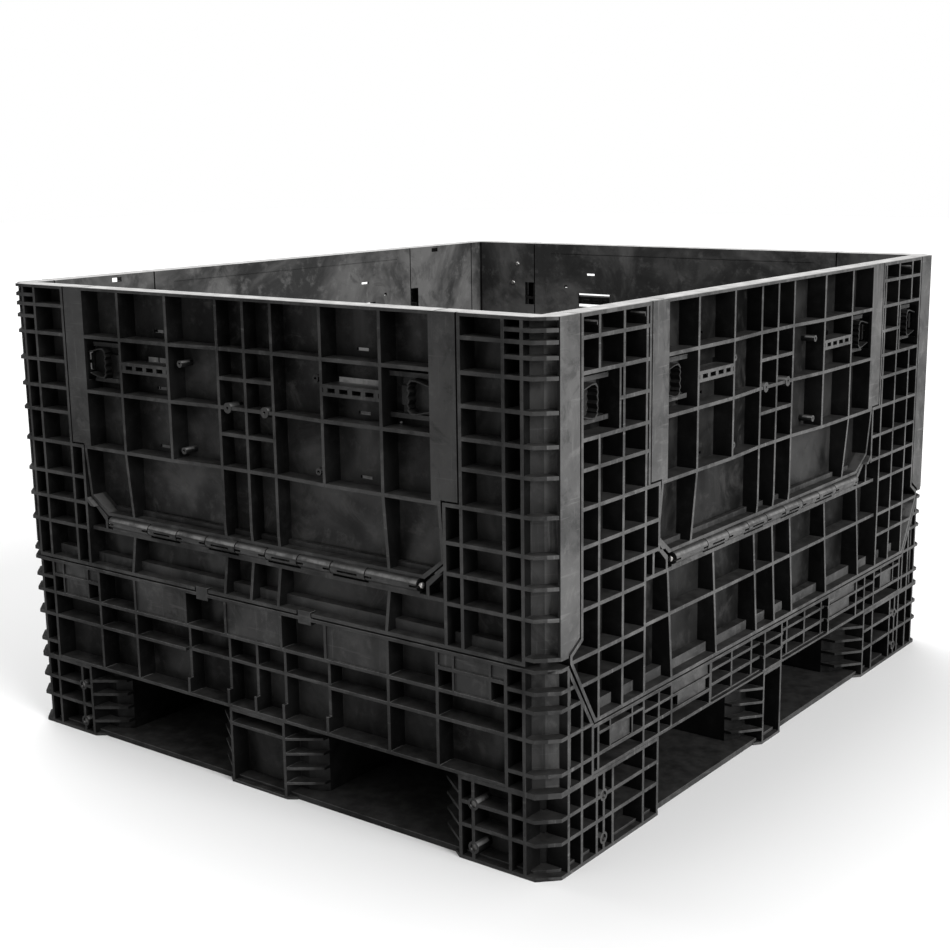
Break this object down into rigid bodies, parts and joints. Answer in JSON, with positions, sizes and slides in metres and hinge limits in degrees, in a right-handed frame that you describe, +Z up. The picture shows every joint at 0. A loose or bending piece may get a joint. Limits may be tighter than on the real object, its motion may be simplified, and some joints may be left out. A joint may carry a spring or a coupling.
{
  "type": "collapsible bulk container",
  "caption": "Large open-top bulk container with ribbed folding walls, drop doors held by slide latches, and a four-way pallet base for fork entry.",
  "frame": {"origin": "on the floor, under the middle of the container", "axes": "+Z up, +X along the short side (1219 mm) towards the right side wall, +Y along the long side (1448 mm) towards the rear end wall"},
  "size_m": [1.219, 1.448, 0.85],
  "materials": {
    "wall_plastic": "moulded black polyethylene, satin, scuffed grey on its rib edges",
    "door_plastic": "moulded black polyethylene, satin, with dusty cell floors",
    "base_plastic": "moulded black polyethylene, satin, rubbed along its feet",
    "skid_plastic": "moulded black polyethylene, scratched grey by fork tines",
    "latch_plastic": "moulded black nylon, satin, polished at the grip",
    "zinc_steel": "zinc-plated steel rod, dulled"
  },
  "bodies": {
    "base": {"base_deck": "base_plastic", "base_middle_feet": "base_plastic", "skid_frame": "skid_plastic", "skid_pins": "zinc_steel", "base_skirt_front": "base_plastic", "base_skirt_rear": "base_plastic", "base_skirt_right": "base_plastic", "base_skirt_left": "base_plastic", "base_corner_front_right": "base_plastic", "base_corner_rear_left": "base_plastic", "base_corner_front_left": "base_plastic", "base_corner_rear_right": "base_plastic", "end_wall_front": "wall_plastic", "end_wall_rear": "wall_plastic", "end_wall_front_pins": "zinc_steel", "end_wall_rear_pins": "zinc_steel", "side_wall_right_pins": "zinc_steel", "side_wall_left_pins": "zinc_steel", "door_front_hinge_rod": "zinc_steel", "door_rear_hinge_rod": "zinc_steel"},
    "side_wall_right": {"side_wall_right": "wall_plastic", "door_right_hinge_rod": "zinc_steel"},
    "side_wall_left": {"side_wall_left": "wall_plastic", "door_left_hinge_rod": "zinc_steel"},
    "door_front": {"door_front": "door_plastic"},
    "door_rear": {"door_rear": "door_plastic"},
    "door_right": {"door_right": "door_plastic"},
    "door_left": {"door_left": "door_plastic"},
    "door_front_latch_a": {"door_front_latch_a": "latch_plastic"},
    "door_front_latch_b": {"door_front_latch_b": "latch_plastic"},
    "door_rear_latch_a": {"door_rear_latch_a": "latch_plastic"},
    "door_rear_latch_b": {"door_rear_latch_b": "latch_plastic"},
    "door_right_latch_a": {"door_right_latch_a": "latch_plastic"},
    "door_right_latch_b": {"door_right_latch_b": "latch_plastic"},
    "door_left_latch_a": {"door_left_latch_a": "latch_plastic"},
    "door_left_latch_b": {"door_left_latch_b": "latch_plastic"},
    "corner_latch_right_a": {"corner_latch_right_a": "latch_plastic"},
    "corner_latch_right_b": {"corner_latch_right_b": "latch_plastic"},
    "corner_latch_left_a": {"corner_latch_left_a": "latch_plastic"},
    "corner_latch_left_b": {"corner_latch_left_b": "latch_plastic"}
  },
  "joints": [
    {"name": "side_wall_right_fold", "type": "hinge", "parent": "base", "child": "side_wall_right", "pos_m": [0.5765, 0, 0.233], "axis": [0, -1, 0], "range_deg": [0, 90]},
    {"name": "side_wall_left_fold", "type": "hinge", "parent": "base", "child": "side_wall_left", "pos_m": [-0.5765, 0, 0.233], "axis": [0, 1, 0], "range_deg": [0, 85]},
    {"name": "door_front_drop", "type": "hinge", "parent": "base", "child": "door_front", "pos_m": [0, -0.713, 0.426], "axis": [-1, 0, 0], "range_deg": [-165, 0]},
    {"name": "door_rear_drop", "type": "hinge", "parent": "base", "child": "door_rear", "pos_m": [0, 0.713, 0.426], "axis": [1, 0, 0], "range_deg": [-165, 0]},
    {"name": "door_right_drop", "type": "hinge", "parent": "side_wall_right", "child": "door_right", "pos_m": [0.5985, 0, 0.426], "axis": [0, -1, 0], "range_deg": [-165, 0]},
    {"name": "door_left_drop", "type": "hinge", "parent": "side_wall_left", "child": "door_left", "pos_m": [-0.5985, 0, 0.426], "axis": [0, 1, 0], "range_deg": [-165, 0]},
    {"name": "door_front_latch_a_slide", "type": "slide", "parent": "door_front", "child": "door_front_latch_a", "axis": [-1, 0, 0], "range_m": [0, 0.011]},
    {"name": "door_front_latch_b_slide", "type": "slide", "parent": "door_front", "child": "door_front_latch_b", "axis": [1, 0, 0], "range_m": [0, 0.011]},
    {"name": "door_rear_latch_a_slide", "type": "slide", "parent": "door_rear", "child": "door_rear_latch_a", "axis": [1, 0, 0], "range_m": [0, 0.011]},
    {"name": "door_rear_latch_b_slide", "type": "slide", "parent": "door_rear", "child": "door_rear_latch_b", "axis": [-1, 0, 0], "range_m": [0, 0.011]},
    {"name": "door_right_latch_a_slide", "type": "slide", "parent": "door_right", "child": "door_right_latch_a", "axis": [0, -1, 0], "range_m": [0, 0.011]},
    {"name": "door_right_latch_b_slide", "type": "slide", "parent": "door_right", "child": "door_right_latch_b", "axis": [0, 1, 0], "range_m": [0, 0.011]},
    {"name": "door_left_latch_a_slide", "type": "slide", "parent": "door_left", "child": "door_left_latch_a", "axis": [0, 1, 0], "range_m": [0, 0.011]},
    {"name": "door_left_latch_b_slide", "type": "slide", "parent": "door_left", "child": "door_left_latch_b", "axis": [0, -1, 0], "range_m": [0, 0.011]},
    {"name": "corner_latch_right_a_slide", "type": "slide", "parent": "side_wall_right", "child": "corner_latch_right_a", "axis": [0, -1, 0], "range_m": [0, 0.011]},
    {"name": "corner_latch_right_b_slide", "type": "slide", "parent": "side_wall_right", "child": "corner_latch_right_b", "axis": [0, 1, 0], "range_m": [0, 0.011]},
    {"name": "corner_latch_left_a_slide", "type": "slide", "parent": "side_wall_left", "child": "corner_latch_left_a", "axis": [0, 1, 0], "range_m": [0, 0.011]},
    {"name": "corner_latch_left_b_slide", "type": "slide", "parent": "side_wall_left", "child": "corner_latch_left_b", "axis": [0, -1, 0], "range_m": [0, 0.011]}
  ]
}
